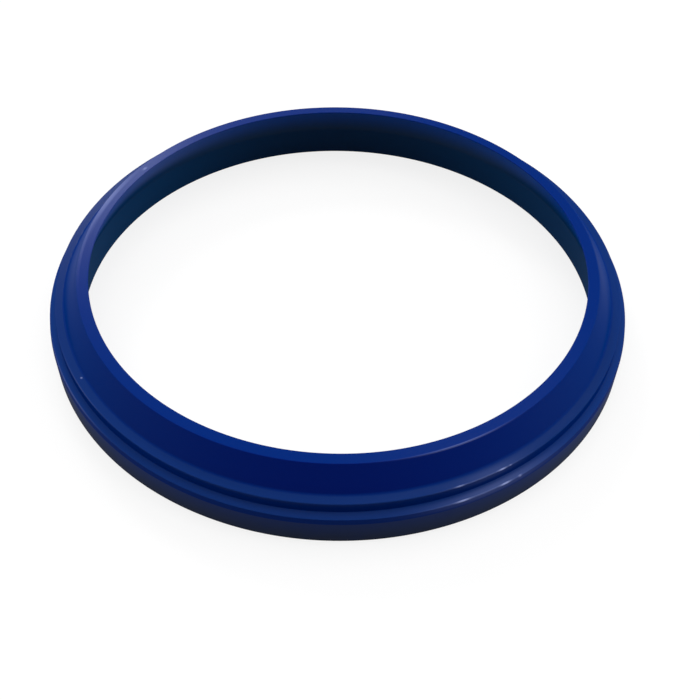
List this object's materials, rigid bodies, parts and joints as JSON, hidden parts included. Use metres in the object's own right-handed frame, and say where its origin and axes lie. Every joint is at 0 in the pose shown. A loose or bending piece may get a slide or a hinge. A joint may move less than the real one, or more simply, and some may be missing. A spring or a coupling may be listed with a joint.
{
  "type": "rod wiper seal",
  "caption": "One-piece moulded rod wiper ring with a plain outer wall, two stepped ledges and a conical wiping lip.",
  "frame": {"origin": "centre of the flat heel face, which the ring stands on", "axes": "+Z along the ring's axis, from the heel towards the lip; X and Y are any two directions across it"},
  "size_m": [0.092, 0.092, 0.0107],
  "materials": {
    "polyurethane": "moulded polyurethane, deep blue, slightly translucent, satin gloss"
  },
  "bodies": {
    "root": {"wiper_ring": "polyurethane"}
  },
  "joints": []
}
